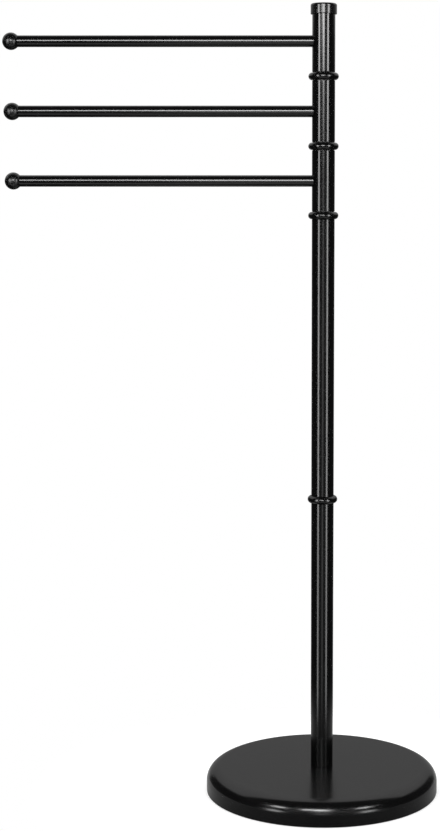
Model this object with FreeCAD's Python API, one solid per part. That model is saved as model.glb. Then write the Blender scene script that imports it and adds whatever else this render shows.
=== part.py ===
import FreeCAD, Part
import math
import os

# Freestanding towel stand: a weighted round foot, a post in two tubes, and three arms
# that swivel on a rod hidden inside three short sleeves stacked on top of the post.
# Origin: centre of the foot on the floor, on the post's axis. +Z is up, arms lie along -X.
# Millimetres. Threads are plain cylinders at their major diameter.

# Driving dimensions ---------------------------------------------------------------------
TOTAL_HEIGHT = 890.0
POST_RADIUS = 12.7          # 1 inch tube
POST_WALL = 1.2
ARM_RADIUS = 6.35           # 1/2 inch tube
ARM_WALL = 1.0
ARM_REACH = 344.0           # post axis to ball centre
BALL_RADIUS = 9.525         # 3/4 inch ball
SEGMENT_PITCH = 76.2        # ring to ring on the swivelling part
TOP_SEGMENT_RING = 810.9    # height of the highest ring's middle
JOINT_RING_HEIGHT = 339.2   # height of the ring between the two post tubes
BEAD_RADIUS = 4.1           # half-round edge of every ring

BASE_RADIUS = 132.5
BASE_HEIGHT = 28.5
BASE_SHOULDER = 16.0        # rounding between top and side
BASE_SHEET = 1.2
BASE_RIM_HEIGHT = 0.4       # the trimmed sheet stops short of the floor
BASE_RIM_EDGE = 0.3         # file mark on the trimmed edge
PAD_THICKNESS = 1.8
PLATE_THICKNESS = 0.6
WEIGHT_RADIUS = 116.0
WEIGHT_THICKNESS = 9.0
WEIGHT_ROUND = 3.0

CAP_RADIUS = 14.5
CAP_SKIRT_BOTTOM = 878.0
CAP_EDGE_ROUND = 2.2
CAP_DOME = 0.45
CAP_SKIRT_ROUND = 0.5

# Fasteners and fits ---------------------------------------------------------------------
ROD_RADIUS = 4.0            # M8 rod, bolt and stud
STUD_RADIUS = 3.0           # M6 studs in the ball finials
THREAD_GAP = 0.04           # radial room between a thread and its hole
SEAT_GAP = 0.02             # radial room round an insert pressed into a tube
RUNNING_GAP = 0.06          # radial room between the rod and a bush
END_PLAY = 0.1              # axial room at each end of a sleeve
FLANGE_THICKNESS = 0.5      # bush flange between sleeve and ring
FLANGE_RADIUS = 12.1
BUSH_LENGTH = 14.0
SPIGOT_LENGTH = 4.0         # ring spigots that centre the rings in the tubes
SKIRT_GAP = 0.35            # radial room between the cap's skirt and the top sleeve
INSERT_LENGTH = 18.0
ROD_SUNK = 16.0             # length of rod screwed into its insert
HOLE_GAP = 0.4              # radial room where the M8 bolt or rod only passes through
PAD_MARGIN = 0.7            # the pad is cut smaller than the plate it is stuck on
TUBE_EDGE = 0.3             # file mark on the outer edge of every cut post tube
WASHER_RADIUS = 8.0
WASHER_THICKNESS = 1.6
SPRING_WASHER_RADIUS = 7.2
SPRING_WASHER_THICKNESS = 2.0
SPRING_WASHER_SPLIT = 1.2
COUNTERBORE_RADIUS = 11.0
COUNTERBORE_DEPTH = 4.0
BOLT_LENGTH = 25.0
BOLT_HEAD_ACROSS_FLATS = 13.0
BOLT_HEAD_HEIGHT = 5.3
JOINT_STUD_LENGTH = 36.0
BOWED_WASHER_RADIUS = 8.0
BOWED_WASHER_SHEET = 0.4
BOWED_WASHER_RISE = 0.5
CAP_THREAD_END = 1.6        # solid metal over the end of the cap's threaded hole
ARM_INNER_END = 9.0         # the arm stops this far from the post's axis
WELD_WIDTH = 2.0
WELD_DEPTH = 1.5
FINIAL_INSERT_LENGTH = 10.0
FINIAL_STUD_LENGTH = 16.0
FINIAL_HOLE_DEPTH = 9.0

# Worked out from the above --------------------------------------------------------------
POST_BORE = POST_RADIUS - POST_WALL
ARM_BORE = ARM_RADIUS - ARM_WALL
BASE_TOP_INSIDE = BASE_HEIGHT - BASE_SHEET
BASE_INSIDE = BASE_RADIUS - BASE_SHEET
SEGMENT_HEIGHT = SEGMENT_PITCH - 2 * BEAD_RADIUS
BALL_FLAT = math.sqrt(BALL_RADIUS ** 2 - ARM_RADIUS ** 2)
ARM_END = ARM_REACH - BALL_FLAT
LOWER_RING = TOP_SEGMENT_RING - 2 * SEGMENT_PITCH
STACK_TOP = TOP_SEGMENT_RING + BEAD_RADIUS + SEGMENT_HEIGHT
CAP_CEILING = STACK_TOP + BOWED_WASHER_SHEET + BOWED_WASHER_RISE + END_PLAY
CAP_HOLE_TOP = TOTAL_HEIGHT - CAP_THREAD_END
ARM_NAMES = ("lower", "middle", "upper")

Z_AXIS = FreeCAD.Vector(0, 0, 1)
X_AXIS = FreeCAD.Vector(1, 0, 0)
Y_AXIS = FreeCAD.Vector(0, 1, 0)
ORIGIN = FreeCAD.Vector(0, 0, 0)
HALF = math.sqrt(0.5)


# Ways of making solids ------------------------------------------------------------------
def corner(radius, height):
    """A point of a turned piece's outline."""
    return FreeCAD.Vector(radius, 0, height)


def turned(*steps):
    """Solid turned about the post's axis. A step is (radius, height) for a straight edge,
    or (middle radius, middle height, end radius, end height) for an arc."""
    edges = []
    here = corner(*steps[0])
    for step in steps[1:] + (steps[0],):
        end = corner(*step[-2:])
        if len(step) == 4:
            edges.append(Part.Arc(here, corner(*step[:2]), end).toShape())
        else:
            edges.append(Part.LineSegment(here, end).toShape())
        here = end
    return Part.Face(Part.Wire(edges)).revolve(ORIGIN, Z_AXIS, 360)


def tube(outer, inner, bottom, top):
    """Upright tube about the post's axis."""
    return turned((inner, bottom), (outer, bottom), (outer, top), (inner, top))


def post_tube(bottom, top):
    """Length of post tube, its cut ends lightly filed on the outside."""
    return turned(
        (POST_BORE, bottom),
        (POST_RADIUS - TUBE_EDGE, bottom),
        (POST_RADIUS, bottom + TUBE_EDGE),
        (POST_RADIUS, top - TUBE_EDGE),
        (POST_RADIUS - TUBE_EDGE, top),
        (POST_BORE, top),
    )


def upright_rod(radius, bottom, top):
    return Part.makeCylinder(radius, top - bottom, FreeCAD.Vector(0, 0, bottom))


def arm_rod(radius, near, far, height):
    """Rod along the arm, from near to far, measured outwards from the post's axis."""
    start = FreeCAD.Vector(-far, 0, height)
    return Part.makeCylinder(radius, far - near, start, X_AXIS)


def save(node, solid):
    solid.exportStep("parts/" + node + ".step")


# The weighted foot ----------------------------------------------------------------------
def base_cover():
    """Pressed sheet: flat top, large round shoulder, and an upright side trimmed off."""
    top = BASE_HEIGHT
    round_centre = BASE_RADIUS - BASE_SHOULDER
    round_height = top - BASE_SHOULDER
    inner_round = BASE_SHOULDER - BASE_SHEET
    hole = ROD_RADIUS + HOLE_GAP
    return turned(
        (hole, top),
        (round_centre, top),
        (
            round_centre + BASE_SHOULDER * HALF,
            round_height + BASE_SHOULDER * HALF,
            BASE_RADIUS,
            round_height,
        ),
        (BASE_RADIUS, BASE_RIM_HEIGHT + BASE_RIM_EDGE),
        (BASE_RADIUS - BASE_RIM_EDGE, BASE_RIM_HEIGHT),
        (BASE_INSIDE, BASE_RIM_HEIGHT),
        (BASE_INSIDE, round_height),
        (
            round_centre + inner_round * HALF,
            round_height + inner_round * HALF,
            round_centre,
            BASE_TOP_INSIDE,
        ),
        (hole, BASE_TOP_INSIDE),
    )


def base_weight():
    """Cast disc bolted up under the cover, with a counterbore for the bolt head."""
    bottom = BASE_TOP_INSIDE - WEIGHT_THICKNESS
    round_centre = WEIGHT_RADIUS - WEIGHT_ROUND
    round_height = BASE_TOP_INSIDE - WEIGHT_ROUND
    disc = turned(
        (ROD_RADIUS + HOLE_GAP, bottom),
        (WEIGHT_RADIUS, bottom),
        (WEIGHT_RADIUS, round_height),
        (
            round_centre + WEIGHT_ROUND * HALF,
            round_height + WEIGHT_ROUND * HALF,
            round_centre,
            BASE_TOP_INSIDE,
        ),
        (ROD_RADIUS + HOLE_GAP, BASE_TOP_INSIDE),
    )
    return disc.cut(upright_rod(COUNTERBORE_RADIUS, bottom, bottom + COUNTERBORE_DEPTH))


def hexagon(across_flats, bottom, height):
    reach = across_flats / math.sqrt(3)
    points = []
    for side in range(7):
        angle = math.radians(60 * side)
        points.append(FreeCAD.Vector(reach * math.cos(angle), reach * math.sin(angle), bottom))
    return Part.Face(Part.makePolygon(points)).extrude(Z_AXIS * height)


def foot_pieces():
    washer_top = BASE_TOP_INSIDE - WEIGHT_THICKNESS + COUNTERBORE_DEPTH
    spring_top = washer_top - WASHER_THICKNESS
    head_top = spring_top - SPRING_WASHER_THICKNESS
    plate_radius = BASE_INSIDE - SEAT_GAP
    plate_top = PAD_THICKNESS + PLATE_THICKNESS
    hole = ROD_RADIUS + HOLE_GAP

    save("base_cover", base_cover())
    save("base_weight", base_weight())
    save("base_plate", upright_rod(plate_radius, PAD_THICKNESS, plate_top))
    save("base_pad", upright_rod(plate_radius - PAD_MARGIN, 0, PAD_THICKNESS))
    save("base_washer", tube(WASHER_RADIUS, hole, spring_top, washer_top))

    split = Part.makeBox(
        SPRING_WASHER_RADIUS,
        SPRING_WASHER_SPLIT,
        SPRING_WASHER_THICKNESS,
        FreeCAD.Vector(ROD_RADIUS, -SPRING_WASHER_SPLIT / 2, head_top),
    )
    spring_washer = tube(SPRING_WASHER_RADIUS, hole, head_top, spring_top)
    save("base_spring_washer", spring_washer.cut(split))

    head = hexagon(BOLT_HEAD_ACROSS_FLATS, head_top - BOLT_HEAD_HEIGHT, BOLT_HEAD_HEIGHT)
    shank = upright_rod(ROD_RADIUS, head_top, head_top + BOLT_LENGTH)
    save("base_bolt", head.fuse(shank).removeSplitter())


# The post -------------------------------------------------------------------------------
def insert(bottom, top):
    """Steel plug pressed into a post tube, threaded right through for the M8 rods."""
    return tube(POST_BORE - SEAT_GAP, ROD_RADIUS + THREAD_GAP, bottom, top)


def ring(height, spigot_below, spigot_above):
    """Turned ring with a half-round edge and, where wanted, a spigot that enters a tube."""
    hole = ROD_RADIUS + THREAD_GAP
    spigot = POST_BORE - SEAT_GAP
    bottom = height - BEAD_RADIUS
    top = height + BEAD_RADIUS
    bead = turned(
        (hole, bottom),
        (POST_RADIUS, bottom),
        (POST_RADIUS + BEAD_RADIUS, height, POST_RADIUS, top),
        (hole, top),
    )
    if spigot_below:
        bead = bead.fuse(tube(spigot, hole, bottom - SPIGOT_LENGTH, bottom))
    if spigot_above:
        bead = bead.fuse(tube(spigot, hole, top, top + SPIGOT_LENGTH))
    return bead.removeSplitter()


def post_pieces():
    joint_below = JOINT_RING_HEIGHT - BEAD_RADIUS
    joint_above = JOINT_RING_HEIGHT + BEAD_RADIUS
    post_top = LOWER_RING - BEAD_RADIUS
    rod_insert_top = post_top - SPIGOT_LENGTH
    stud_half = JOINT_STUD_LENGTH / 2

    save("foot_insert", insert(BASE_HEIGHT, BASE_HEIGHT + INSERT_LENGTH))
    save("lower_tube", post_tube(BASE_HEIGHT, joint_below))
    below = joint_below - SPIGOT_LENGTH
    save("lower_joint_insert", insert(below - INSERT_LENGTH, below))
    save("joint_ring", ring(JOINT_RING_HEIGHT, True, True))
    stud = upright_rod(
        ROD_RADIUS, JOINT_RING_HEIGHT - stud_half, JOINT_RING_HEIGHT + stud_half
    )
    save("joint_stud", stud)
    above = joint_above + SPIGOT_LENGTH
    save("upper_joint_insert", insert(above, above + INSERT_LENGTH))
    save("upper_tube", post_tube(joint_above, post_top))
    save("rod_insert", insert(rod_insert_top - INSERT_LENGTH, rod_insert_top))
    rod_end = CAP_HOLE_TOP - END_PLAY
    save("swivel_rod", upright_rod(ROD_RADIUS, rod_insert_top - ROD_SUNK, rod_end))
    for index, name in enumerate(ARM_NAMES):
        save(name + "_ring", ring(LOWER_RING + index * SEGMENT_PITCH, index == 0, False))


def bowed_washer():
    """Thin spring washer bent about the Y axis: it keeps a light load on the stack."""
    bend = (BOWED_WASHER_RADIUS ** 2 + BOWED_WASHER_RISE ** 2) / (2 * BOWED_WASHER_RISE)
    centre = FreeCAD.Vector(0, -BOWED_WASHER_RADIUS, CAP_CEILING - bend)
    width = 2 * BOWED_WASHER_RADIUS
    outside = Part.makeCylinder(bend, width, centre, Y_AXIS)
    inside = Part.makeCylinder(bend - BOWED_WASHER_SHEET, width, centre, Y_AXIS)
    hole = ROD_RADIUS + HOLE_GAP
    blank = tube(BOWED_WASHER_RADIUS, hole, STACK_TOP - 1, CAP_CEILING)
    return blank.common(outside.cut(inside))


def top_cap():
    """Turned cap: screws on the rod's end, and its skirt hides the top sleeve's edge."""
    skirt = POST_RADIUS + SKIRT_GAP
    hole = ROD_RADIUS + THREAD_GAP
    blank = turned(
        (0, CAP_HOLE_TOP),
        (hole, CAP_HOLE_TOP),
        (hole, CAP_CEILING),
        (skirt, CAP_CEILING),
        (skirt, CAP_SKIRT_BOTTOM),
        (CAP_RADIUS - CAP_SKIRT_ROUND, CAP_SKIRT_BOTTOM),
        (
            CAP_RADIUS - CAP_SKIRT_ROUND * (1 - HALF),
            CAP_SKIRT_BOTTOM + CAP_SKIRT_ROUND * (1 - HALF),
            CAP_RADIUS,
            CAP_SKIRT_BOTTOM + CAP_SKIRT_ROUND,
        ),
        (CAP_RADIUS, TOTAL_HEIGHT),
        (0, TOTAL_HEIGHT),
    )
    dome_radius = (CAP_RADIUS ** 2 + CAP_DOME ** 2) / (2 * CAP_DOME)
    dome = Part.makeSphere(dome_radius, FreeCAD.Vector(0, 0, TOTAL_HEIGHT - dome_radius))
    domed = blank.common(dome)
    rim_height = TOTAL_HEIGHT - 2 * CAP_DOME
    rim = [
        edge
        for edge in domed.Edges
        if edge.BoundBox.ZMin > rim_height and edge.BoundBox.XMax > CAP_RADIUS - CAP_DOME
    ]
    return domed.makeFillet(CAP_EDGE_ROUND, rim)


# The swivelling arms --------------------------------------------------------------------
def bush(end, inwards):
    """Flanged nylon bush in a sleeve's end. end is the sleeve's end face, and inwards is
    +1 where the sleeve lies above it, -1 where the sleeve lies below it."""
    hole = ROD_RADIUS + RUNNING_GAP
    flange = end - inwards * FLANGE_THICKNESS
    inner = end + inwards * BUSH_LENGTH
    return turned(
        (hole, flange),
        (FLANGE_RADIUS, flange),
        (FLANGE_RADIUS, end),
        (POST_BORE - SEAT_GAP, end),
        (POST_BORE - SEAT_GAP, inner),
        (hole, inner),
    )


def sleeve(bottom, top, height):
    """Short post tube with a hole in one side for the arm."""
    hole = arm_rod(ARM_RADIUS + SEAT_GAP, 0, 2 * POST_RADIUS, height)
    return post_tube(bottom, top).cut(hole)


def arm_tube(height):
    outside = arm_rod(ARM_RADIUS, ARM_INNER_END, ARM_END, height)
    return outside.cut(arm_rod(ARM_BORE, ARM_INNER_END, ARM_END, height))


def arm_weld(height):
    """Ring of weld round the arm, on the inside of the sleeve."""
    ring_outside = arm_rod(ARM_RADIUS + WELD_WIDTH, 0, POST_RADIUS, height)
    ring_inside = arm_rod(ARM_RADIUS, 0, POST_RADIUS, height)
    reach = ARM_RADIUS + WELD_WIDTH
    wall_face = tube(POST_BORE, POST_BORE - WELD_DEPTH, height - reach, height + reach)
    return wall_face.common(ring_outside.cut(ring_inside))


def ball_finial(height):
    """Ball with a flat where it meets the tube, and a blind threaded hole."""
    ball = Part.makeSphere(BALL_RADIUS, FreeCAD.Vector(-ARM_REACH, 0, height))
    beyond = arm_rod(2 * BALL_RADIUS, ARM_END - 2 * BALL_RADIUS, ARM_END, height)
    hole = arm_rod(STUD_RADIUS + THREAD_GAP, ARM_END, ARM_END + FINIAL_HOLE_DEPTH, height)
    return ball.cut(beyond).cut(hole)


def finial_insert(height):
    near = ARM_END - FINIAL_INSERT_LENGTH
    plug = arm_rod(ARM_BORE - SEAT_GAP, near, ARM_END, height)
    return plug.cut(arm_rod(STUD_RADIUS + THREAD_GAP, near, ARM_END, height))


def arm_pieces(name, ring_height):
    segment_bottom = ring_height + BEAD_RADIUS
    height = segment_bottom + SEGMENT_HEIGHT / 2
    sleeve_bottom = segment_bottom + END_PLAY + FLANGE_THICKNESS
    sleeve_top = segment_bottom + SEGMENT_HEIGHT - END_PLAY - FLANGE_THICKNESS
    stud_far = ARM_END + FINIAL_HOLE_DEPTH - END_PLAY

    save(name + "_sleeve", sleeve(sleeve_bottom, sleeve_top, height))
    save(name + "_sleeve_bottom_bush", bush(sleeve_bottom, 1))
    save(name + "_sleeve_top_bush", bush(sleeve_top, -1))
    save(name + "_arm_tube", arm_tube(height))
    save(name + "_arm_weld", arm_weld(height))
    save(name + "_finial_insert", finial_insert(height))
    stud = arm_rod(STUD_RADIUS, stud_far - FINIAL_STUD_LENGTH, stud_far, height)
    save(name + "_finial_stud", stud)
    save(name + "_ball_finial", ball_finial(height))


# Build ----------------------------------------------------------------------------------
os.makedirs("parts", exist_ok=True)
foot_pieces()
post_pieces()
save("bowed_washer", bowed_washer())
save("top_cap", top_cap())
for order, arm in enumerate(ARM_NAMES):
    arm_pieces(arm, LOWER_RING + order * SEGMENT_PITCH)
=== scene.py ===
import math

import bmesh
import bpy
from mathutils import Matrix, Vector


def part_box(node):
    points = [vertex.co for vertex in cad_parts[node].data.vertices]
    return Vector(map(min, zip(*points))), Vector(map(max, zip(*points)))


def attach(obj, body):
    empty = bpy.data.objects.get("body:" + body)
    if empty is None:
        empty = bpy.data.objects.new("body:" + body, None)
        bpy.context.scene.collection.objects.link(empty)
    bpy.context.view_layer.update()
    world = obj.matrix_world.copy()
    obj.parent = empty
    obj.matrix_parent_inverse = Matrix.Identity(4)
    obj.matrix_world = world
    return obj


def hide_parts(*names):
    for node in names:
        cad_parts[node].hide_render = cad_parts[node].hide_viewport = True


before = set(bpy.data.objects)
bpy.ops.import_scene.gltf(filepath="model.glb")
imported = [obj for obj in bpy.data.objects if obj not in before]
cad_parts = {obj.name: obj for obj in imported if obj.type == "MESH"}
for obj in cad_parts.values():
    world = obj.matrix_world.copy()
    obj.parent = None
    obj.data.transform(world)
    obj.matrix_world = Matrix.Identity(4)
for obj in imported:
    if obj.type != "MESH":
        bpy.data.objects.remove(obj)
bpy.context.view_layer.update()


# The weighted foot ----------------------------------------------------------------------
# A disc of deep drawn sheet steel: flat top, one large rounding, and an upright side with
# its edge trimmed and filed. It is sprayed satin black together with the tubes, and hides
# a cast weight, the bolt that holds the post, a thin closing plate and a foam pad.
MM = 0.001
SHEET = 1.2 * MM
SHOULDER = 16.0 * MM        # the large rounding round the top
RIM_EDGE = 0.3 * MM         # file mark on the trimmed edge
BOLT_HOLE = 4.4 * MM
FOOT_FACETS = 256
PAINT_BLACK = (0.0024, 0.0024, 0.0025, 1.0)
GLOSS_DRIFT = 0.04          # how far the paint's roughness wanders
PEEL_SIZE = 1.7 * MM        # orange peel in the paint
PEEL_DEPTH = 0.0006 * MM
DUST_GREY = (0.30, 0.29, 0.27, 1.0)
SHARP_ABOVE = 28            # degrees between two faces, above which their edge is a real one


def node(tree, kind, sockets=(), **settings):
    """Adds a node. A socket is given its value, or the output that feeds it."""
    made = tree.nodes.new(kind)
    for key, value in settings.items():
        setattr(made, key, value)
    for key, value in dict(sockets).items():
        if isinstance(value, bpy.types.NodeSocket):
            tree.links.new(value, made.inputs[key])
        else:
            made.inputs[key].default_value = value
    return made


def node_tree(name, kind, inputs, outputs):
    """A node group. inputs and outputs list (name, socket type, starting value)."""
    tree = bpy.data.node_groups.new(name, kind)
    for side, sockets in (("INPUT", inputs), ("OUTPUT", outputs)):
        for label, socket_type, value in sockets:
            socket = tree.interface.new_socket(label, in_out=side, socket_type=socket_type)
            if value is not None:
                socket.default_value = value
    return tree


def arc(radius, height, bend, start, end, steps):
    """Points of an outline's arc of radius bend about (radius, height), from start to end
    in degrees, where 0 points away from the axis and 90 points up."""
    points = []
    for step in range(steps + 1):
        angle = math.radians(start + (end - start) * step / steps)
        points.append((radius + bend * math.cos(angle), height + bend * math.sin(angle)))
    return points


def outline_mesh(name, outline, closed=True):
    """The outline of a turned piece as a line of edges. Long straights get a point close
    to each end, so that smooth shading stays on the roundings."""
    margin = 0.25 * MM
    ends = list(zip(outline, outline[1:]))
    if closed:
        ends.append((outline[-1], outline[0]))
    points = []
    for here, there in ends:
        here, there = Vector(here), Vector(there)
        length = (there - here).length
        points.append(here)
        if length > 6 * margin:
            points.append(here.lerp(there, margin / length))
            points.append(there.lerp(here, margin / length))
    if not closed:
        points.append(Vector(outline[-1]))
    count = len(points)
    edges = [(index, index + 1) for index in range(count - 1)]
    if closed:
        edges.append((count - 1, 0))
    mesh = bpy.data.meshes.new(name)
    mesh.from_pydata([(point.x, 0, point.y) for point in points], edges, [])
    return mesh


# The lathe: swings an outline about the upright axis, then lays the piece where it goes.
lathe = node_tree(
    "lathe",
    "GeometryNodeTree",
    [
        ("Outline", "NodeSocketGeometry", None),
        ("Facets", "NodeSocketInt", 96),
        ("Turn", "NodeSocketVector", (0, 0, 0)),
        ("Place", "NodeSocketVector", (0, 0, 0)),
        ("Finish", "NodeSocketMaterial", None),
    ],
    [("Piece", "NodeSocketGeometry", None)],
)
SWING = 0.1     # radius of the circle that the outline is carried round
given = node(lathe, "NodeGroupInput")
upright = node(lathe, "GeometryNodeTransform", {
    "Geometry": given.outputs["Outline"],
    "Translation": (-SWING, 0, 0),
})
flat = node(lathe, "GeometryNodeTransform", {
    "Geometry": upright.outputs[0],
    "Rotation": (math.radians(90), 0, 0),
})
profile = node(lathe, "GeometryNodeMeshToCurve", {0: flat.outputs[0]})
circle = node(lathe, "GeometryNodeCurvePrimitiveCircle", {
    "Resolution": given.outputs["Facets"],
    "Radius": SWING,
})
level = node(lathe, "GeometryNodeSetCurveNormal", {0: circle.outputs[0]}, mode="Z_UP")
swung = node(lathe, "GeometryNodeCurveToMesh", {
    "Curve": level.outputs[0],
    "Profile Curve": profile.outputs[0],
})
merged = node(lathe, "GeometryNodeMergeByDistance", {
    "Geometry": swung.outputs[0],
    "Distance": 0.001 * MM,
})
turn = node(lathe, "FunctionNodeEulerToRotation", {0: given.outputs["Turn"]})
placed = node(lathe, "GeometryNodeTransform", {
    "Geometry": merged.outputs[0],
    "Translation": given.outputs["Place"],
    "Rotation": turn.outputs[0],
})
real = node(lathe, "GeometryNodeRealizeInstances", {0: placed.outputs[0]})
finished = node(lathe, "GeometryNodeSetMaterial", {
    "Geometry": real.outputs[0],
    "Material": given.outputs["Finish"],
})
node(lathe, "NodeGroupOutput", {0: finished.outputs[0]})


def piece_from(name, mesh):
    """Puts a mesh in the scene as an object at the origin."""
    piece = bpy.data.objects.new(name, mesh)
    bpy.context.scene.collection.objects.link(piece)
    return piece


def face_outwards(mesh):
    """Turns a closed mesh's faces outwards, and shades it smooth between real edges."""
    shell = bmesh.new()
    shell.from_mesh(mesh)
    if shell.calc_volume(signed=True) < 0:
        bmesh.ops.reverse_faces(shell, faces=shell.faces)
    shell.to_mesh(mesh)
    shell.free()
    mesh.shade_smooth()
    mesh.set_sharp_from_angle(angle=math.radians(SHARP_ABOVE))


def grown(name, tree, start, **values):
    """Runs a Geometry Nodes tree on a start mesh and keeps the result as a plain mesh."""
    draft = piece_from(name + "_draft", start)
    modifier = draft.modifiers.new("Grow", "NODES")
    modifier.node_group = tree
    for item in tree.interface.items_tree:
        keyword = item.name.replace(" ", "_").lower()
        if item.in_out == "INPUT" and keyword in values:
            modifier[item.identifier] = values[keyword]
    bpy.context.view_layer.update()
    depsgraph = bpy.context.evaluated_depsgraph_get()
    mesh = bpy.data.meshes.new_from_object(draft.evaluated_get(depsgraph))
    draft.modifiers.remove(modifier)
    bpy.data.objects.remove(draft)
    mesh.name = name
    face_outwards(mesh)
    return piece_from(name, mesh)


def dress(piece, body, slot, *nodes):
    """The piece moves with a body and stands for nodes. The slot is not used."""
    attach(piece, body)
    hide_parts(*nodes)


# Sprayed paint: fine orange peel, a slow drift of the gloss, and a faint veil of dust on
# what faces up. It puts out the colour, the roughness and the height for a Bump node.
sprayed = node_tree(
    "sprayed_paint",
    "ShaderNodeTree",
    [
        ("Tone", "NodeSocketColor", PAINT_BLACK),
        ("Gloss Roughness", "NodeSocketFloat", 0.2),
        ("Gloss Drift", "NodeSocketFloat", GLOSS_DRIFT),
        ("Peel Size", "NodeSocketFloat", PEEL_SIZE),
        ("Dust", "NodeSocketFloat", 0.0),
    ],
    [
        ("Colour", "NodeSocketColor", None),
        ("Roughness", "NodeSocketFloat", None),
        ("Height", "NodeSocketFloat", None),
    ],
)
paint = node(sprayed, "NodeGroupInput")
where = node(sprayed, "ShaderNodeTexCoord")
peel_scale = node(sprayed, "ShaderNodeMath", {
    0: 1.0,
    1: paint.outputs["Peel Size"],
}, operation="DIVIDE")
peel = node(sprayed, "ShaderNodeTexNoise", {
    "Vector": where.outputs["Object"],
    "Scale": peel_scale.outputs[0],
    "Detail": 2.0,
    "Roughness": 0.45,
})
drift = node(sprayed, "ShaderNodeTexNoise", {
    "Vector": where.outputs["Object"],
    "Scale": 9.0,
    "Detail": 3.0,
})
drift_range = node(sprayed, "ShaderNodeMapRange", {
    "Value": drift.outputs["Fac"],
    "From Min": 0.3,
    "From Max": 0.7,
    "To Min": -0.5,
    "To Max": 0.5,
})
drift_roughness = node(sprayed, "ShaderNodeMath", {
    0: drift_range.outputs[0],
    1: paint.outputs["Gloss Drift"],
    2: paint.outputs["Gloss Roughness"],
}, operation="MULTIPLY_ADD")
facing = node(sprayed, "ShaderNodeNewGeometry")
upness = node(sprayed, "ShaderNodeSeparateXYZ", {0: facing.outputs["Normal"]})
settled = node(sprayed, "ShaderNodeMapRange", {
    "Value": upness.outputs["Z"],
    "From Min": 0.6,
    "From Max": 1.0,
})
speckle = node(sprayed, "ShaderNodeTexNoise", {
    "Vector": where.outputs["Object"],
    "Scale": 60.0,
    "Detail": 8.0,
    "Roughness": 0.75,
})
speckle_range = node(sprayed, "ShaderNodeMapRange", {
    "Value": speckle.outputs["Fac"],
    "From Min": 0.35,
    "From Max": 0.75,
})
dust_lying = node(sprayed, "ShaderNodeMath", {
    0: settled.outputs[0],
    1: speckle_range.outputs[0],
}, operation="MULTIPLY")
dust_mask = node(sprayed, "ShaderNodeMath", {
    0: dust_lying.outputs[0],
    1: paint.outputs["Dust"],
}, operation="MULTIPLY")
dusted = node(sprayed, "ShaderNodeMix", {
    "Factor": dust_mask.outputs[0],
    "A": paint.outputs["Tone"],
    "B": DUST_GREY,
}, data_type="RGBA")
dusted_roughness = node(sprayed, "ShaderNodeMath", {
    0: dust_mask.outputs[0],
    1: 0.8,
    2: drift_roughness.outputs[0],
}, operation="MULTIPLY_ADD")
node(sprayed, "NodeGroupOutput", {
    "Colour": dusted.outputs["Result"],
    "Roughness": dusted_roughness.outputs[0],
    "Height": peel.outputs["Fac"],
})


def surface(name):
    """A new material with a bare Principled BSDF, returned with its tree."""
    material = bpy.data.materials.new(name)
    material.use_nodes = True
    return material, material.node_tree, material.node_tree.nodes["Principled BSDF"]


def sprayed_black(name, roughness, tone=PAINT_BLACK, dust=0.0):
    """The sprayed black paint. Its gloss differs a little from piece to piece."""
    material, tree, shader = surface(name)
    coat = node(tree, "ShaderNodeGroup", node_tree=sprayed)
    coat.inputs["Tone"].default_value = tone
    coat.inputs["Gloss Roughness"].default_value = roughness
    coat.inputs["Gloss Drift"].default_value = GLOSS_DRIFT
    coat.inputs["Peel Size"].default_value = PEEL_SIZE
    coat.inputs["Dust"].default_value = dust
    bump = node(tree, "ShaderNodeBump", {
        "Strength": 1.0,
        "Distance": PEEL_DEPTH,
        "Height": coat.outputs["Height"],
    })
    tree.links.new(coat.outputs["Colour"], shader.inputs["Base Color"])
    tree.links.new(coat.outputs["Roughness"], shader.inputs["Roughness"])
    tree.links.new(bump.outputs[0], shader.inputs["Normal"])
    return material


cover_low, cover_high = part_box("base_cover")
foot_radius = cover_high.x
foot_top = cover_high.z
shoulder_radius = foot_radius - SHOULDER
shoulder_height = foot_top - SHOULDER
cover_outline = (
    [(BOLT_HOLE, foot_top)]
    + arc(shoulder_radius, shoulder_height, SHOULDER, 90, 0, steps=40)
    + [(foot_radius, cover_low.z + RIM_EDGE), (foot_radius - RIM_EDGE, cover_low.z)]
    + [(foot_radius - SHEET, cover_low.z)]
    + arc(shoulder_radius, shoulder_height, SHOULDER - SHEET, 0, 90, steps=20)
    + [(BOLT_HOLE, foot_top - SHEET)]
)
foot_cover = grown(
    "foot_cover",
    lathe,
    outline_mesh("foot_cover_outline", cover_outline),
    facets=FOOT_FACETS,
    finish=sprayed_black("foot_paint", roughness=0.2, dust=0.006),
)
dress(foot_cover, "stand", "painted_steel", "base_cover")


# What the foot holds --------------------------------------------------------------------
# A rough iron casting for weight, zinc plated M8 hardware and closing plate, and a disc
# of closed-cell foam rubber stuck on the plate, which is what touches the floor.
def finish_nodes(material, *names):
    """Gives CAD nodes a material, keeping their shape."""
    for name in names:
        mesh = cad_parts[name].data
        mesh.materials.clear()
        mesh.materials.append(material)


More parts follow.
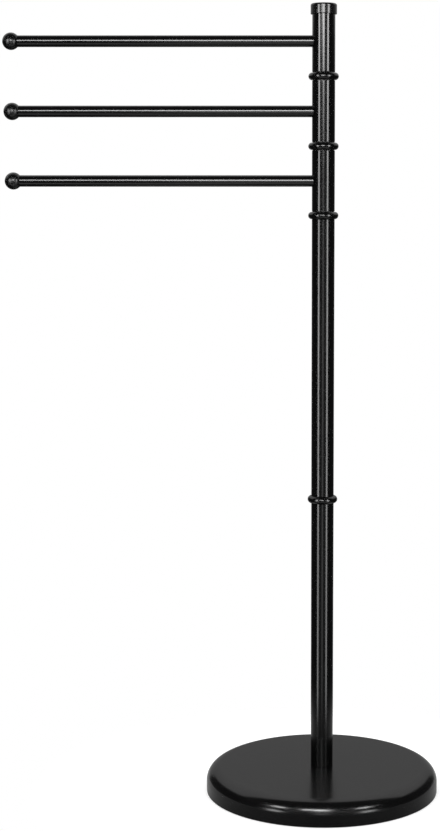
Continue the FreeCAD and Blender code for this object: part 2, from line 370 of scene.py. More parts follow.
def rough_casting():
    """Dark cast iron with the grain of the sand mould and rusty brown patches."""
    material, tree, shader = surface("rough_casting")
    where = node(tree, "ShaderNodeTexCoord")
    sand = node(tree, "ShaderNodeTexNoise", {
        "Vector": where.outputs["Object"],
        "Scale": 900.0,
        "Detail": 6.0,
        "Roughness": 0.7,
    })
    patches = node(tree, "ShaderNodeTexNoise", {
        "Vector": where.outputs["Object"],
        "Scale": 45.0,
        "Detail": 5.0,
    })
    colour = node(tree, "ShaderNodeValToRGB", {0: patches.outputs["Fac"]})
    colour.color_ramp.elements[0].color = (0.045, 0.044, 0.043, 1)
    colour.color_ramp.elements[1].color = (0.14, 0.12, 0.105, 1)
    roughness = node(tree, "ShaderNodeMapRange", {
        "Value": patches.outputs["Fac"],
        "To Min": 0.62,
        "To Max": 0.9,
    })
    bump = node(tree, "ShaderNodeBump", {
        "Distance": 0.15 * MM,
        "Height": sand.outputs["Fac"],
    })
    shader.inputs["Metallic"].default_value = 0.3
    tree.links.new(colour.outputs[0], shader.inputs["Base Color"])
    tree.links.new(roughness.outputs[0], shader.inputs["Roughness"])
    tree.links.new(bump.outputs[0], shader.inputs["Normal"])
    return material


def zinc_plate():
    """Bright zinc with the faint blue and straw clouds of its passivation."""
    material, tree, shader = surface("zinc_plate")
    where = node(tree, "ShaderNodeTexCoord")
    clouds = node(tree, "ShaderNodeTexNoise", {
        "Vector": where.outputs["Object"],
        "Scale": 110.0,
        "Detail": 3.0,
        "Distortion": 0.6,
    })
    colour = node(tree, "ShaderNodeValToRGB", {0: clouds.outputs["Fac"]})
    colour.color_ramp.elements[0].position = 0.35
    colour.color_ramp.elements[0].color = (0.56, 0.60, 0.64, 1)
    colour.color_ramp.elements[1].position = 0.7
    colour.color_ramp.elements[1].color = (0.68, 0.66, 0.58, 1)
    turning = node(tree, "ShaderNodeTexNoise", {
        "Vector": where.outputs["Object"],
        "Scale": 2600.0,
        "Detail": 2.0,
    })
    roughness = node(tree, "ShaderNodeMapRange", {
        "Value": clouds.outputs["Fac"],
        "To Min": 0.24,
        "To Max": 0.42,
    })
    bump = node(tree, "ShaderNodeBump", {
        "Distance": 0.008 * MM,
        "Height": turning.outputs["Fac"],
    })
    shader.inputs["Metallic"].default_value = 1.0
    tree.links.new(colour.outputs[0], shader.inputs["Base Color"])
    tree.links.new(roughness.outputs[0], shader.inputs["Roughness"])
    tree.links.new(bump.outputs[0], shader.inputs["Normal"])
    return material


def foam_rubber():
    """Matt black foam with fine cells."""
    material, tree, shader = surface("foam_rubber")
    where = node(tree, "ShaderNodeTexCoord")
    cells = node(tree, "ShaderNodeTexVoronoi", {
        "Vector": where.outputs["Object"],
        "Scale": 1600.0,
    })
    mottle = node(tree, "ShaderNodeTexNoise", {
        "Vector": where.outputs["Object"],
        "Scale": 30.0,
        "Detail": 4.0,
    })
    colour = node(tree, "ShaderNodeValToRGB", {0: mottle.outputs["Fac"]})
    colour.color_ramp.elements[0].color = (0.014, 0.014, 0.014, 1)
    colour.color_ramp.elements[1].color = (0.034, 0.033, 0.032, 1)
    roughness = node(tree, "ShaderNodeMapRange", {
        "Value": cells.outputs["Distance"],
        "To Min": 0.8,
        "To Max": 0.98,
    })
    bump = node(tree, "ShaderNodeBump", {
        "Distance": 0.12 * MM,
        "Height": cells.outputs["Distance"],
    })
    tree.links.new(colour.outputs[0], shader.inputs["Base Color"])
    tree.links.new(roughness.outputs[0], shader.inputs["Roughness"])
    tree.links.new(bump.outputs[0], shader.inputs["Normal"])
    return material


zinc = zinc_plate()
finish_nodes(rough_casting(), "base_weight")
finish_nodes(zinc, "base_plate", "base_washer", "base_spring_washer", "base_bolt")
finish_nodes(foam_rubber(), "base_pad")


# The post -------------------------------------------------------------------------------
# Two lengths of welded 1 inch steel tube with filed ends, painted satin black. Threaded
# steel plugs are pressed into their ends, and a stud screws the two together.
POST_WALL = 1.2 * MM
FILED_EDGE = 0.3 * MM
POST_FACETS = 128


def post_tube_outline(low, high):
    """Section of a post tube between two corners of its box, with filed outer edges."""
    radius = high.x
    bore = radius - POST_WALL
    return [
        (bore, low.z),
        (radius - FILED_EDGE, low.z),
        (radius, low.z + FILED_EDGE),
        (radius, high.z - FILED_EDGE),
        (radius - FILED_EDGE, high.z),
        (bore, high.z),
    ]


tube_paint = sprayed_black("tube_paint", roughness=0.16)
for tube_node, tube_name in (("lower_tube", "lower_post"), ("upper_tube", "upper_post")):
    post_length = grown(
        tube_name,
        lathe,
        outline_mesh(tube_name + "_outline", post_tube_outline(*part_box(tube_node))),
        facets=POST_FACETS,
        finish=tube_paint,
    )
    dress(post_length, "stand", "painted_steel", tube_node)

finish_nodes(
    zinc, "foot_insert", "lower_joint_insert", "joint_stud", "upper_joint_insert", "rod_insert",
    "swivel_rod",
)


# The rings ------------------------------------------------------------------------------
# Four turned steel rings with a half-round edge that stands proud of the tubes. The two
# on the fixed post have spigots that enter the tubes; the upper two are plain spacers.
BEAD_RADIUS = 4.1 * MM
RING_HOLE = 4.04 * MM
SPIGOT_CLEARANCE = 0.02 * MM


def ring_outline(spigot_below, spigot_above):
    """Section of a ring about its own middle height. A spigot is given by its length."""
    tube_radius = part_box("upper_tube")[1].x
    spigot = tube_radius - POST_WALL - SPIGOT_CLEARANCE
    below = [(RING_HOLE, -BEAD_RADIUS)]
    if spigot_below:
        reach = -BEAD_RADIUS - spigot_below
        below = [(RING_HOLE, reach), (spigot, reach), (spigot, -BEAD_RADIUS)]
    above = [(RING_HOLE, BEAD_RADIUS)]
    if spigot_above:
        reach = BEAD_RADIUS + spigot_above
        above = [(spigot, BEAD_RADIUS), (spigot, reach), (RING_HOLE, reach)]
    return below + arc(tube_radius, 0, BEAD_RADIUS, -90, 90, steps=28) + above


ring_paint = sprayed_black("ring_paint", roughness=0.2)
for ring_node, spigots_below, spigots_above in (
    ("joint_ring", 1, 1),
    ("lower_ring", 1, 0),
    ("middle_ring", 0, 0),
    ("upper_ring", 0, 0),
):
    ring_low, ring_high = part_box(ring_node)
    past_the_bead = ring_high.z - ring_low.z - 2 * BEAD_RADIUS
    spigot_length = past_the_bead / max(1, spigots_below + spigots_above)
    ring_piece = grown(
        ring_node.replace("_ring", "_bead_ring"),
        lathe,
        outline_mesh(
            ring_node + "_outline",
            ring_outline(spigots_below * spigot_length, spigots_above * spigot_length),
        ),
        facets=POST_FACETS,
        place=(0, 0, ring_high.z - BEAD_RADIUS - spigots_above * spigot_length),
        finish=ring_paint,
    )
    dress(ring_piece, "stand", "painted_steel", ring_node)


# The swivelling arms --------------------------------------------------------------------
# Each arm is a straight half inch tube let into the side of a short sleeve of post tube
# and welded from inside, so that outside only paint fills the corner. The sleeve runs on
# two nylon bushes, and a turned ball is screwed on the arm's end.
ARM_WALL = 1.0 * MM
ARM_EDGE = 0.2 * MM
ARM_FACETS = 72
BALL_EDGE = 0.25 * MM
STUD_HOLE = 3.04 * MM
STUD_HOLE_DEPTH = 9.0 * MM
SEAM_BEAD = 0.35 * MM       # radius of the paint in the corner of arm and sleeve
ALONG_ARM = (0, math.radians(-90), 0)      # turns a piece from upright to lying along -X


def sleeve_mesh(name, low, high, arm_height, hole_radius):
    """Outer wall of a sleeve with a true hole for the arm; a Solidify adds its thickness.
    A square patch of rings runs round the hole, and plain rows and columns meet it."""
    radius = high.x
    patch_angle = math.radians(54)  # from the hole's middle to the patch's side
    patch_half = 11.0 * MM          # from the hole's middle to the patch's top
    cells = 14                      # cells along each side of the patch
    rings = 6                       # rings of cells from its rim to the hole
    crowding = 0.8                  # below 1, the rings crowd towards the hole
    columns = [
        -patch_angle + 2 * patch_angle * index / cells for index in range(cells + 1)
    ]
    outside_columns = 42
    outside_step = (2 * math.pi - 2 * patch_angle) / outside_columns
    columns += [patch_angle + outside_step * index for index in range(1, outside_columns)]
    patch_rows = [
        arm_height - patch_half + 2 * patch_half * index / cells for index in range(cells + 1)
    ]
    support = 0.25 * MM             # rows this close to each end keep its edge crisp
    bottom = low.z + FILED_EDGE
    top = high.z - FILED_EDGE
    rows = [bottom, bottom + support] + patch_rows + [top - support, top]
    first_row = 2                   # where the patch starts among the rows
    wall = bmesh.new()

    def on_wall(angle, height, reach=radius):
        return wall.verts.new((-reach * math.cos(angle), -reach * math.sin(angle), height))

    def inside(column, row):
        return 0 < column < cells and first_row < row < first_row + cells

    edge = radius - FILED_EDGE
    grid = [[on_wall(angle, low.z, edge) for angle in columns]]
    for row, height in enumerate(rows):
        grid.append([
            None if inside(column, row) else on_wall(angle, height)
            for column, angle in enumerate(columns)
        ])
    grid.append([on_wall(angle, high.z, edge) for angle in columns])
    for row in range(len(grid) - 1):
        for column in range(len(columns)):
            after = (column + 1) % len(columns)
            in_patch = column < cells and first_row < row < first_row + cells + 1
            if not in_patch:
                wall.faces.new([
                    grid[row][column],
                    grid[row][after],
                    grid[row + 1][after],
                    grid[row + 1][column],
                ])

    square = (
        [(column, 0) for column in range(cells)]
        + [(cells, row) for row in range(cells)]
        + [(cells - column, cells) for column in range(cells)]
        + [(0, cells - row) for row in range(cells)]
    )
    corner = math.radians(225)      # direction of the square's first corner
    previous = [grid[first_row + 1 + row][column] for column, row in square]
    for ring in range(1, rings + 1):
        share = (ring / rings) ** crowding
        current = []
        for index, (column, row) in enumerate(square):
            turned = corner + 2 * math.pi * index / len(square)
            hole_angle = math.asin(hole_radius * math.cos(turned) / radius)
            hole_height = arm_height + hole_radius * math.sin(turned)
            angle = columns[column] * (1 - share) + hole_angle * share
            height = patch_rows[row] * (1 - share) + hole_height * share
            current.append(on_wall(angle, height))
        for index in range(len(square)):
            after = (index + 1) % len(square)
            wall.faces.new([previous[index], previous[after], current[after], current[index]])
        previous = current
    bmesh.ops.recalc_face_normals(wall, faces=wall.faces)
    wall.faces.ensure_lookup_table()
    plain_face = wall.faces[0]
    if plain_face.normal.xy.dot(plain_face.calc_center_median().xy) < 0:
        bmesh.ops.reverse_faces(wall, faces=wall.faces)
    mesh = bpy.data.meshes.new(name)
    wall.to_mesh(mesh)
    wall.free()
    mesh.shade_smooth()
    return mesh


# The seam: a fine bead of paint in the corner where an arm enters its sleeve. It follows
# the saddle-shaped line in which the two round tubes meet.
seam_line = node_tree(
    "seam_line",
    "GeometryNodeTree",
    [
        ("Start", "NodeSocketGeometry", None),
        ("Post Radius", "NodeSocketFloat", 12.7 * MM),
        ("Arm Radius", "NodeSocketFloat", 6.35 * MM),
        ("Bead Size", "NodeSocketFloat", SEAM_BEAD),
        ("Arm Height", "NodeSocketFloat", 0.0),
        ("Facets", "NodeSocketInt", ARM_FACETS),
        ("Finish", "NodeSocketMaterial", None),
    ],
    [("Bead", "NodeSocketGeometry", None)],
)
given = node(seam_line, "NodeGroupInput")
loop = node(seam_line, "GeometryNodeCurvePrimitiveCircle", {
    "Resolution": given.outputs["Facets"],
    "Radius": given.outputs["Arm Radius"],
})
spot = node(seam_line, "GeometryNodeInputPosition")
spot_parts = node(seam_line, "ShaderNodeSeparateXYZ", {0: spot.outputs[0]})
across_squared = node(seam_line, "ShaderNodeMath", {
    0: spot_parts.outputs["X"],
    1: spot_parts.outputs["X"],
}, operation="MULTIPLY")
radius_squared = node(seam_line, "ShaderNodeMath", {
    0: given.outputs["Post Radius"],
    1: given.outputs["Post Radius"],
}, operation="MULTIPLY")
depth_squared = node(seam_line, "ShaderNodeMath", {
    0: radius_squared.outputs[0],
    1: across_squared.outputs[0],
}, operation="SUBTRACT")
depth = node(seam_line, "ShaderNodeMath", {0: depth_squared.outputs[0]}, operation="SQRT")
outwards = node(seam_line, "ShaderNodeMath", {
    0: depth.outputs[0],
    1: -1.0,
}, operation="MULTIPLY")
height = node(seam_line, "ShaderNodeMath", {
    0: spot_parts.outputs["Y"],
    1: given.outputs["Arm Height"],
}, operation="ADD")
saddle = node(seam_line, "ShaderNodeCombineXYZ", {
    "X": outwards.outputs[0],
    "Y": spot_parts.outputs["X"],
    "Z": height.outputs[0],
})
bent = node(seam_line, "GeometryNodeSetPosition", {
    "Geometry": loop.outputs[0],
    "Position": saddle.outputs[0],
})
section = node(seam_line, "GeometryNodeCurvePrimitiveCircle", {
    "Resolution": 12,
    "Radius": given.outputs["Bead Size"],
})
bead = node(seam_line, "GeometryNodeCurveToMesh", {
    "Curve": bent.outputs[0],
    "Profile Curve": section.outputs[0],
})
real = node(seam_line, "GeometryNodeRealizeInstances", {0: bead.outputs[0]})
finished = node(seam_line, "GeometryNodeSetMaterial", {
    "Geometry": real.outputs[0],
    "Material": given.outputs["Finish"],
})
node(seam_line, "NodeGroupOutput", {0: finished.outputs[0]})


def moulded_nylon():
    """Black nylon with the slightly cloudy skin that moulding leaves."""
    material, tree, shader = surface("moulded_nylon")
    where = node(tree, "ShaderNodeTexCoord")
    cloud = node(tree, "ShaderNodeTexNoise", {
        "Vector": where.outputs["Object"],
        "Scale": 300.0,
        "Detail": 4.0,
    })
    colour = node(tree, "ShaderNodeValToRGB", {0: cloud.outputs["Fac"]})
    colour.color_ramp.elements[0].color = (0.010, 0.010, 0.010, 1)
    colour.color_ramp.elements[1].color = (0.022, 0.022, 0.021, 1)
    roughness = node(tree, "ShaderNodeMapRange", {
        "Value": cloud.outputs["Fac"],
        "To Min": 0.38,
        "To Max": 0.55,
    })
    bump = node(tree, "ShaderNodeBump", {
        "Distance": 0.01 * MM,
        "Height": cloud.outputs["Fac"],
    })
    tree.links.new(colour.outputs[0], shader.inputs["Base Color"])
    tree.links.new(roughness.outputs[0], shader.inputs["Roughness"])
    tree.links.new(bump.outputs[0], shader.inputs["Normal"])
    return material


def weld_scale():
    """Weld metal left as it cooled: dull grey with straw and blue heat tints."""
    material, tree, shader = surface("weld_scale")
    where = node(tree, "ShaderNodeTexCoord")
    heat = node(tree, "ShaderNodeTexNoise", {
        "Vector": where.outputs["Object"],
        "Scale": 400.0,
        "Detail": 3.0,
    })
    colour = node(tree, "ShaderNodeValToRGB", {0: heat.outputs["Fac"]})
    colour.color_ramp.elements[0].color = (0.10, 0.11, 0.14, 1)
    colour.color_ramp.elements[1].color = (0.26, 0.20, 0.14, 1)
    roughness = node(tree, "ShaderNodeMapRange", {
        "Value": heat.outputs["Fac"],
        "To Min": 0.35,
        "To Max": 0.7,
    })
    bump = node(tree, "ShaderNodeBump", {
        "Distance": 0.1 * MM,
        "Height": heat.outputs["Fac"],
    })
    shader.inputs["Metallic"].default_value = 1.0
    tree.links.new(colour.outputs[0], shader.inputs["Base Color"])
    tree.links.new(roughness.outputs[0], shader.inputs["Roughness"])
    tree.links.new(bump.outputs[0], shader.inputs["Normal"])
    return material


arm_paint = sprayed_black("arm_paint", roughness=0.155)
ball_paint = sprayed_black("ball_paint", roughness=0.3)
nylon = moulded_nylon()
weld = weld_scale()
for arm in ("lower", "middle", "upper"):
    body = arm + "_arm"
    tube_low, tube_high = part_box(arm + "_arm_tube")
    arm_height = (tube_low.z + tube_high.z) / 2
    arm_radius = (tube_high.z - tube_low.z) / 2
    ball_low, ball_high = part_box(arm + "_ball_finial")
    ball_radius = (ball_high.z - ball_low.z) / 2
    ball_reach = -ball_low.x - ball_radius
    flat_depth = ball_high.x + ball_reach      # ball centre to the flat that meets the arm

    sleeve_low, sleeve_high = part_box(arm + "_sleeve")
    sleeve = piece_from(
        arm + "_swivel_sleeve",
        sleeve_mesh(arm + "_swivel_sleeve", sleeve_low, sleeve_high, arm_height,
                    arm_radius + SPIGOT_CLEARANCE),
    )
    thickness = sleeve.modifiers.new("Wall", "SOLIDIFY")
    thickness.thickness = POST_WALL
    thickness.offset = -1
    sleeve.data.materials.append(tube_paint)
    bpy.context.view_layer.update()
    walled = bpy.data.meshes.new_from_object(
        sleeve.evaluated_get(bpy.context.evaluated_depsgraph_get())
    )
    sleeve.modifiers.clear()
    sleeve.data = walled
    face_outwards(walled)
    dress(sleeve, body, "painted_steel", arm + "_sleeve")

    seam = grown(
        arm + "_arm_seam",
        seam_line,
        bpy.data.meshes.new(arm + "_seam_start"),
        post_radius=sleeve_high.x,
        arm_radius=arm_radius,
        bead_size=SEAM_BEAD,
        arm_height=arm_height,
        finish=tube_paint,
    )
    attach(seam, body)

    length = tube_high.x - tube_low.x
    arm_outline = [
        (arm_radius - ARM_WALL, 0),
        (arm_radius, 0),
        (arm_radius, length - ARM_EDGE),
        (arm_radius - ARM_EDGE, length),
        (arm_radius - ARM_WALL, length),
    ]
    arm_piece = grown(
        arm + "_rail",
        lathe,
        outline_mesh(arm + "_rail_outline", arm_outline),
        facets=ARM_FACETS,
        turn=ALONG_ARM,
        place=(tube_high.x, 0, arm_height),
        finish=arm_paint,
    )
    dress(arm_piece, body, "painted_steel", arm + "_arm_tube")

    flat_angle = -math.degrees(math.asin(flat_depth / ball_radius))
    edge_angle = flat_angle + math.degrees(BALL_EDGE / ball_radius)
    edge_radius = ball_radius * math.cos(math.radians(edge_angle))
    ball_outline = (
        [(0, ball_radius)]
        + arc(0, 0, ball_radius, 88, edge_angle, steps=40)
        + [(edge_radius - BALL_EDGE, -flat_depth)]
        + [(STUD_HOLE, -flat_depth), (STUD_HOLE, STUD_HOLE_DEPTH - flat_depth)]
        + [(0, STUD_HOLE_DEPTH - flat_depth)]
    )
    ball = grown(
        arm + "_ball_end",
        lathe,
        outline_mesh(arm + "_ball_outline", ball_outline, closed=False),
        facets=ARM_FACETS,
        turn=ALONG_ARM,
        place=(-ball_reach, 0, arm_height),
        finish=ball_paint,
    )
    dress(ball, body, "painted_steel", arm + "_ball_finial")

    finish_nodes(nylon, arm + "_sleeve_bottom_bush", arm + "_sleeve_top_bush")
    finish_nodes(zinc, arm + "_finial_insert", arm + "_finial_stud")
    finish_nodes(weld, arm + "_arm_weld")


# The top cap ----------------------------------------------------------------------------
# A turned cap with a gently domed top and a rounded edge. It screws down on the rod's
# end, presses the bowed washer on the stack and hides the edge of the top sleeve.
CAP_EDGE_ROUND = 2.2 * MM
CAP_DOME = 0.45 * MM
CAP_SKIRT_ROUND = 0.5 * MM
CAP_SKIRT_GAP = 0.35 * MM
CAP_ROD_GAP = 0.1 * MM
CAP_BLACK = (0.006, 0.006, 0.0063, 1)
cap_low, cap_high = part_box("top_cap")
cap_radius = cap_high.x
skirt_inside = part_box("upper_sleeve")[1].x + CAP_SKIRT_GAP
cap_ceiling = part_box("bowed_washer")[1].z
cap_hole_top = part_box("swivel_rod")[1].z + CAP_ROD_GAP
dome_radius = (cap_radius ** 2 + CAP_DOME ** 2) / (2 * CAP_DOME)
dome_end = math.degrees(math.acos((cap_radius - CAP_EDGE_ROUND) / dome_radius))
edge_height = cap_high.z - dome_radius * (1 - math.sin(math.radians(dome_end)))
cap_outline = (
    [(0, cap_high.z)]
    + arc(0, cap_high.z - dome_radius, dome_radius, 89.8, dome_end, steps=8)
    + arc(
        cap_radius - CAP_EDGE_ROUND, edge_height - CAP_EDGE_ROUND, CAP_EDGE_ROUND,
        dome_end, 0, steps=16,
    )
    + arc(
        cap_radius - CAP_SKIRT_ROUND, cap_low.z + CAP_SKIRT_ROUND, CAP_SKIRT_ROUND,
        0, -90, steps=8,
    )
    + [(skirt_inside, cap_low.z), (skirt_inside, cap_ceiling), (RING_HOLE, cap_ceiling)]
    + [(RING_HOLE, cap_hole_top), (0, cap_hole_top)]
)
cap = grown(
    "post_cap",
    lathe,
    outline_mesh("post_cap_outline", cap_outline, closed=False),
    facets=POST_FACETS,
    finish=sprayed_black("cap_paint", roughness=0.2, tone=CAP_BLACK),
)
dress(cap, "stand", "painted_steel", "top_cap")
finish_nodes(zinc, "bowed_washer")


# The table and the lamps ----------------------------------------------------------------
# A small round white table under soft panels, which light the colours. What the gloss
# mirrors is set up apart, as round any black product: a tall softbox on each side, one
# that shines high in front, a pale sweep behind, and dark cards everywhere else.
TABLE_RADIUS = 0.34
TABLE_FADE = 0.10                 # width of the rim in which the table turns clear
TABLE_WHITE = (0.8, 0.8, 0.8, 1)
TABLE_GLOW = 0.45                 # lifts the table towards the white behind it
TABLE_FACETS = 96
PANEL_TARGET = Vector((0, 0, 0.4))


def mirror_or_camera(tree):
    """1 for rays that come from the camera, from a mirroring surface or through glass."""
    rays = node(tree, "ShaderNodeLightPath")
    mirrored = node(tree, "ShaderNodeMath", {
        0: rays.outputs["Is Glossy Ray"],
        1: rays.outputs["Is Transmission Ray"],
    }, operation="MAXIMUM")
    return node(tree, "ShaderNodeMath", {
        0: rays.outputs["Is Camera Ray"],
        1: mirrored.outputs[0],
    }, operation="MAXIMUM").outputs[0]


def white_table():
    """Matt white that fades out at the table's rim and is clear from below."""
    material, tree, shader = surface("white_table")
    tree.nodes.remove(shader)
    where = node(tree, "ShaderNodeTexCoord")
    reach = node(tree, "ShaderNodeVectorMath", {0: where.outputs["Object"]}, operation="LENGTH")
    fade = node(tree, "ShaderNodeMapRange", {
        "Value": reach.outputs["Value"],
        "From Min": TABLE_RADIUS - TABLE_FADE,
        "From Max": TABLE_RADIUS,
    }, interpolation_type="SMOOTHSTEP")
    glow = node(tree, "ShaderNodeMath", {
        0: mirror_or_camera(tree),
        1: TABLE_GLOW,
    }, operation="MULTIPLY")
    matt = node(tree, "ShaderNodeBsdfDiffuse", {"Color": TABLE_WHITE})
    white = node(tree, "ShaderNodeEmission", {"Strength": glow.outputs[0]})
    both = node(tree, "ShaderNodeAddShader", {0: matt.outputs[0], 1: white.outputs[0]})
    clear = node(tree, "ShaderNodeBsdfTransparent")
    under = node(tree, "ShaderNodeNewGeometry")
    gone = node(tree, "ShaderNodeMath", {
        0: fade.outputs[0],
        1: under.outputs["Backfacing"],
    }, operation="MAXIMUM")
    mixed = node(tree, "ShaderNodeMixShader", {
        0: gone.outputs[0],
        1: both.outputs[0],
        2: clear.outputs[0],
    })
    tree.links.new(mixed.outputs[0], tree.nodes["Material Output"].inputs["Surface"])
    return material


table_mesh = bpy.data.meshes.new("white_table")
disc = bmesh.new()
bmesh.ops.create_circle(disc, cap_ends=True, segments=TABLE_FACETS, radius=TABLE_RADIUS)
disc.to_mesh(table_mesh)
disc.free()
table_mesh.materials.append(white_table())
table = piece_from("white_table", table_mesh)


def towards(azimuth, elevation=0.0):
    """Direction from the post. Azimuth 0 is in front, and goes to the right."""
    turned, raised = math.radians(azimuth), math.radians(elevation)
    level = math.cos(raised)
    return Vector((math.sin(turned) * level, -math.cos(turned) * level, math.sin(raised)))


def soft_panel(name, azimuth, elevation, distance, size, radiance):
    """Square panel aimed at the post, which lights colours and leaves no highlight."""
    light = bpy.data.lights.new(name, "AREA")
    light.shape = "SQUARE"
    light.size = size
    light.energy = radiance * math.pi * size ** 2
    panel = bpy.data.objects.new(name, light)
    bpy.context.scene.collection.objects.link(panel)
    away = towards(azimuth, elevation)
    panel.location = away * distance + PANEL_TARGET
    panel.rotation_euler = away.to_track_quat("Z", "Y").to_euler()
    panel.visible_camera = False
    panel.visible_glossy = False


for side_name, side in (("left", -1), ("right", 1)):
    soft_panel(f"{side_name}_panel", side * 40, 25, distance=2.8, size=1.6, radiance=4.2)
    soft_panel(f"rear_{side_name}_panel", side * 145, 30, distance=2.8, size=1.4, radiance=2.6)
soft_panel("top_panel", 0, 89, distance=2.2, size=1.6, radiance=2.4)


def mirrored_only(name, points, faces, radiance, opacity):
    """A glowing sheet that only mirroring surfaces see. Each point has its own radiance."""
    mesh = bpy.data.meshes.new(name)
    mesh.from_pydata(points, [], faces)
    mesh.attributes.new("radiance", "FLOAT", "POINT").data.foreach_set("value", radiance)
    mesh.attributes.new("opacity", "FLOAT", "POINT").data.foreach_set("value", opacity)
    material, tree, shader = surface(name)
    tree.nodes.remove(shader)
    brightness = node(tree, "ShaderNodeAttribute", attribute_name="radiance")
    cover = node(tree, "ShaderNodeAttribute", attribute_name="opacity")
    glow = node(tree, "ShaderNodeEmission", {"Strength": brightness.outputs["Fac"]})
    clear = node(tree, "ShaderNodeBsdfTransparent")
    mixed = node(tree, "ShaderNodeMixShader", {
        0: cover.outputs["Fac"],
        1: clear.outputs[0],
        2: glow.outputs[0],
    })
    tree.links.new(mixed.outputs[0], tree.nodes["Material Output"].inputs["Surface"])
    material.cycles.emission_sampling = "NONE"
    mesh.materials.append(material)
    sheet = piece_from(name, mesh)
    sheet.visible_camera = False
    sheet.visible_diffuse = False
    sheet.visible_shadow = False
    sheet.visible_volume_scatter = False


def glowing_rows(name, rows):
    """Sheet of level rows, each given by its left end, its right end and its radiance."""
    points = []
    radiance = []
    for left, right, brightness in rows:
        points += [left, right]
        radiance += [brightness, brightness]
    faces = [
        (2 * row, 2 * row + 1, 2 * row + 3, 2 * row + 2) for row in range(len(rows) - 1)
    ]
    mirrored_only(name, points, faces, radiance, [1.0] * len(points))


def softbox(name, left, right, distance, profile):
    """Upright sheet between two azimuths. The profile lists (height, radiance)."""
    ends = [towards(azimuth) * distance for azimuth in (left, right)]
    rows = [
        ((ends[0].x, ends[0].y, height), (ends[1].x, ends[1].y, height), radiance)
        for height, radiance in profile
    ]
    glowing_rows(name, rows)


# The lamps that the gloss mirrors, as (height, radiance) from the bottom up. The post
# shows them as three bright lines, which fade towards the foot as the lamps do.
SIDE_LAMP = (
    (-0.60, 4.0), (-0.26, 5.0), (-0.10, 5.2), (0.0, 7.5), (0.50, 8.0), (0.72, 8.0),
    (0.85, 10.5), (1.10, 15.0), (1.40, 15.0),
)
FRONT_LAMP = (
    (-0.60, 0.6), (-0.20, 1.0), (0.50, 1.2), (0.69, 0.7), (0.76, 1.4), (0.83, 3.0),
    (0.92, 5.5), (1.00, 12.0), (1.08, 21.0), (1.44, 21.0),
)
FRONT_LAMP_WING = ((1.08, 20.0), (1.44, 20.0))
FRONT_WALL = ((-1.7, 0.12), (0.80, 0.15), (1.10, 0.40), (1.60, 0.50), (1.90, 0.50))
LAMP_DISTANCE = 2.0
FRONT_WALL_DISTANCE = 5.0
softbox("left_softbox", -52.8, -39.2, LAMP_DISTANCE, SIDE_LAMP)
softbox("right_softbox", 35.7, 49.3, LAMP_DISTANCE, SIDE_LAMP)
softbox("front_softbox", -8.0, 6.0, LAMP_DISTANCE, FRONT_LAMP)
softbox("front_softbox_wing", -21.0, -8.0, LAMP_DISTANCE, FRONT_LAMP_WING)
softbox("front_wall", -39.0, 36.0, FRONT_WALL_DISTANCE, FRONT_WALL)

# The dark room round the stand: walls, a ceiling and a floor well below the table.
ROOM = 5.5
ROOM_LOW = -1.7
ROOM_HIGH = 4.5
ROOM_GREY = 0.035
WALLS = 12
for wall in range(WALLS):
    softbox(
        f"wall_{wall}",
        360 * (wall - 0.5) / WALLS,
        360 * (wall + 0.5) / WALLS,
        ROOM,
        ((ROOM_LOW, ROOM_GREY), (ROOM_HIGH, ROOM_GREY)),
    )
for card_name, card_height in (("ceiling", ROOM_HIGH), ("floor_below", ROOM_LOW)):
    glowing_rows(card_name, [
        ((-ROOM, depth, card_height), (ROOM, depth, card_height), ROOM_GREY)
        for depth in (-ROOM, ROOM)
    ])

# Dark flags keep the brightest part of the side lamps' mirror images out of the foot's flat
# top when it is seen from behind. Each lies along a line of sight that the post mirrors, so
# that the post sees little more than its edge.
FLAG_NEAR = 0.72
FLAG_FAR = 1.6
FLAG_HALF_WIDTH = 0.2
FLAG_HEIGHT = 0.427               # where its line meets the post
FLAG_DROP = 0.127                 # per metre away from the post
for flag_name, flag_azimuth in (("left_flag", -46.0), ("right_flag", 42.5)):
    away = towards(flag_azimuth)
    aside = Vector((-away.y, away.x, 0)) * FLAG_HALF_WIDTH
    flag_rows = []
    for reach in (FLAG_NEAR, FLAG_FAR):
        centre = away * reach + Vector((0, 0, FLAG_HEIGHT - FLAG_DROP * reach))
        flag_rows.append((tuple(centre - aside), tuple(centre + aside), ROOM_GREY))
    glowing_rows(flag_name, flag_rows)

# Pale cards: one low in front, which gives the arms their second, weaker line of light,
# and the sweep behind, which the foot's flat top mirrors.
LOW_CARD_HALF_WIDTH = 1.0
LOW_CARD_HEIGHT = -0.6
LOW_CARD_RADIANCE = 0.9
glowing_rows("pale_floor_in_front", [
    (
        (-LOW_CARD_HALF_WIDTH, depth, LOW_CARD_HEIGHT),
        (LOW_CARD_HALF_WIDTH, depth, LOW_CARD_HEIGHT),
        LOW_CARD_RADIANCE,
    )
    for depth in (-0.62, -1.30)
])
SWEEP_HALF_WIDTH = 1.6
SWEEP = (      # (distance behind the post, height, radiance)
    (2.5, -0.6, 0.27), (2.5, 0.95, 0.27), (1.6, 1.0, 0.42), (1.0, 1.06, 0.62),
    (0.5, 1.1, 0.85), (0.1, 1.12, 1.0),
)
glowing_rows("pale_sweep", [
    ((-SWEEP_HALF_WIDTH, depth, height), (SWEEP_HALF_WIDTH, depth, height), radiance)
    for depth, height, radiance in SWEEP
])

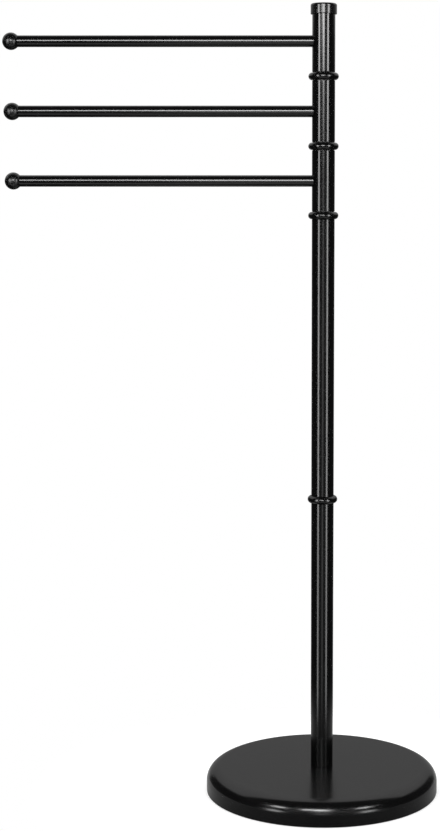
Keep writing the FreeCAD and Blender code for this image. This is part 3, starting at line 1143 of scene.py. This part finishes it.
# The table as the gloss sees it: grey, lighter behind the foot than in front of it, and
# gone where it would hide the lamps. Its rings are (radius, opacity).
GREY_TABLE = ((0.133, 1.0), (0.20, 1.0), (0.27, 0.95), (0.33, 0.6), (0.40, 0.2), (0.46, 0.0))
GREY_TABLE_FRONT = 0.11
GREY_TABLE_BACK = 0.60
GREY_TABLE_HEIGHT = 0.2 * MM
GREY_TABLE_FACETS = 64
ring_points = []
ring_radiance = []
ring_opacity = []
for radius, opacity in GREY_TABLE:
    for facet in range(GREY_TABLE_FACETS):
        around = 2 * math.pi * facet / GREY_TABLE_FACETS
        ring_points.append(
            (radius * math.cos(around), radius * math.sin(around), GREY_TABLE_HEIGHT)
        )
        behind = (1 + math.sin(around)) / 2      # 0 in front of the foot, 1 behind it
        ring_radiance.append(
            GREY_TABLE_FRONT + (GREY_TABLE_BACK - GREY_TABLE_FRONT) * behind
        )
        ring_opacity.append(opacity)
ring_faces = []
for ring in range(len(GREY_TABLE) - 1):
    for facet in range(GREY_TABLE_FACETS):
        here = ring * GREY_TABLE_FACETS + facet
        after = ring * GREY_TABLE_FACETS + (facet + 1) % GREY_TABLE_FACETS
        ring_faces.append((here, here + GREY_TABLE_FACETS, after + GREY_TABLE_FACETS, after))
mirrored_only("grey_table", ring_points, ring_faces, ring_radiance, ring_opacity)

# All round: plain white behind the object, and a weak fill as light.
FILL = 0.25
world = bpy.data.worlds.new("studio")
bpy.context.scene.world = world
world.use_nodes = True
world.node_tree.nodes.clear()
sky = world.node_tree
fill = node(sky, "ShaderNodeBackground", {"Color": (1, 1, 1, 1), "Strength": FILL})
white = node(sky, "ShaderNodeBackground", {"Color": (1, 1, 1, 1), "Strength": 1.0})
both = node(sky, "ShaderNodeMixShader", {
    0: mirror_or_camera(sky),
    1: fill.outputs[0],
    2: white.outputs[0],
})
node(sky, "ShaderNodeOutputWorld", {0: both.outputs[0]})


# The camera -----------------------------------------------------------------------------
# A long lens two metres in front of the post, at three quarters of its height and tilted
# down a little. The stand is photographed off centre, so the frame is shifted sideways.
IMAGE_HEIGHT = 831                # pixels, the frame's long side
SENSOR = 36.0                     # millimetres along that side
FOCAL_PIXELS = 1816.6             # focal length in the frame's pixels
SHIFT_PIXELS = 60.0
CAMERA_DISTANCE = 2.0324          # metres from the post, level
CAMERA_HEIGHT = 0.6852
CAMERA_AZIMUTH = 1.2              # degrees to the left of the post's front
CAMERA_YAW = 0.156                # degrees, turned to the left
CAMERA_PITCH = 7.035              # degrees, tilted down
lens = bpy.data.cameras.new("camera")
lens.sensor_width = SENSOR
lens.lens = FOCAL_PIXELS * SENSOR / IMAGE_HEIGHT
lens.shift_x = -SHIFT_PIXELS / IMAGE_HEIGHT
camera = bpy.data.objects.new("camera", lens)
bpy.context.scene.collection.objects.link(camera)
camera.location = (
    -CAMERA_DISTANCE * math.sin(math.radians(CAMERA_AZIMUTH)),
    -CAMERA_DISTANCE * math.cos(math.radians(CAMERA_AZIMUTH)),
    CAMERA_HEIGHT,
)
camera.rotation_euler = (math.radians(90 - CAMERA_PITCH), 0, math.radians(CAMERA_YAW))
bpy.context.scene.camera = camera
bpy.context.scene.view_settings.view_transform = "Standard"
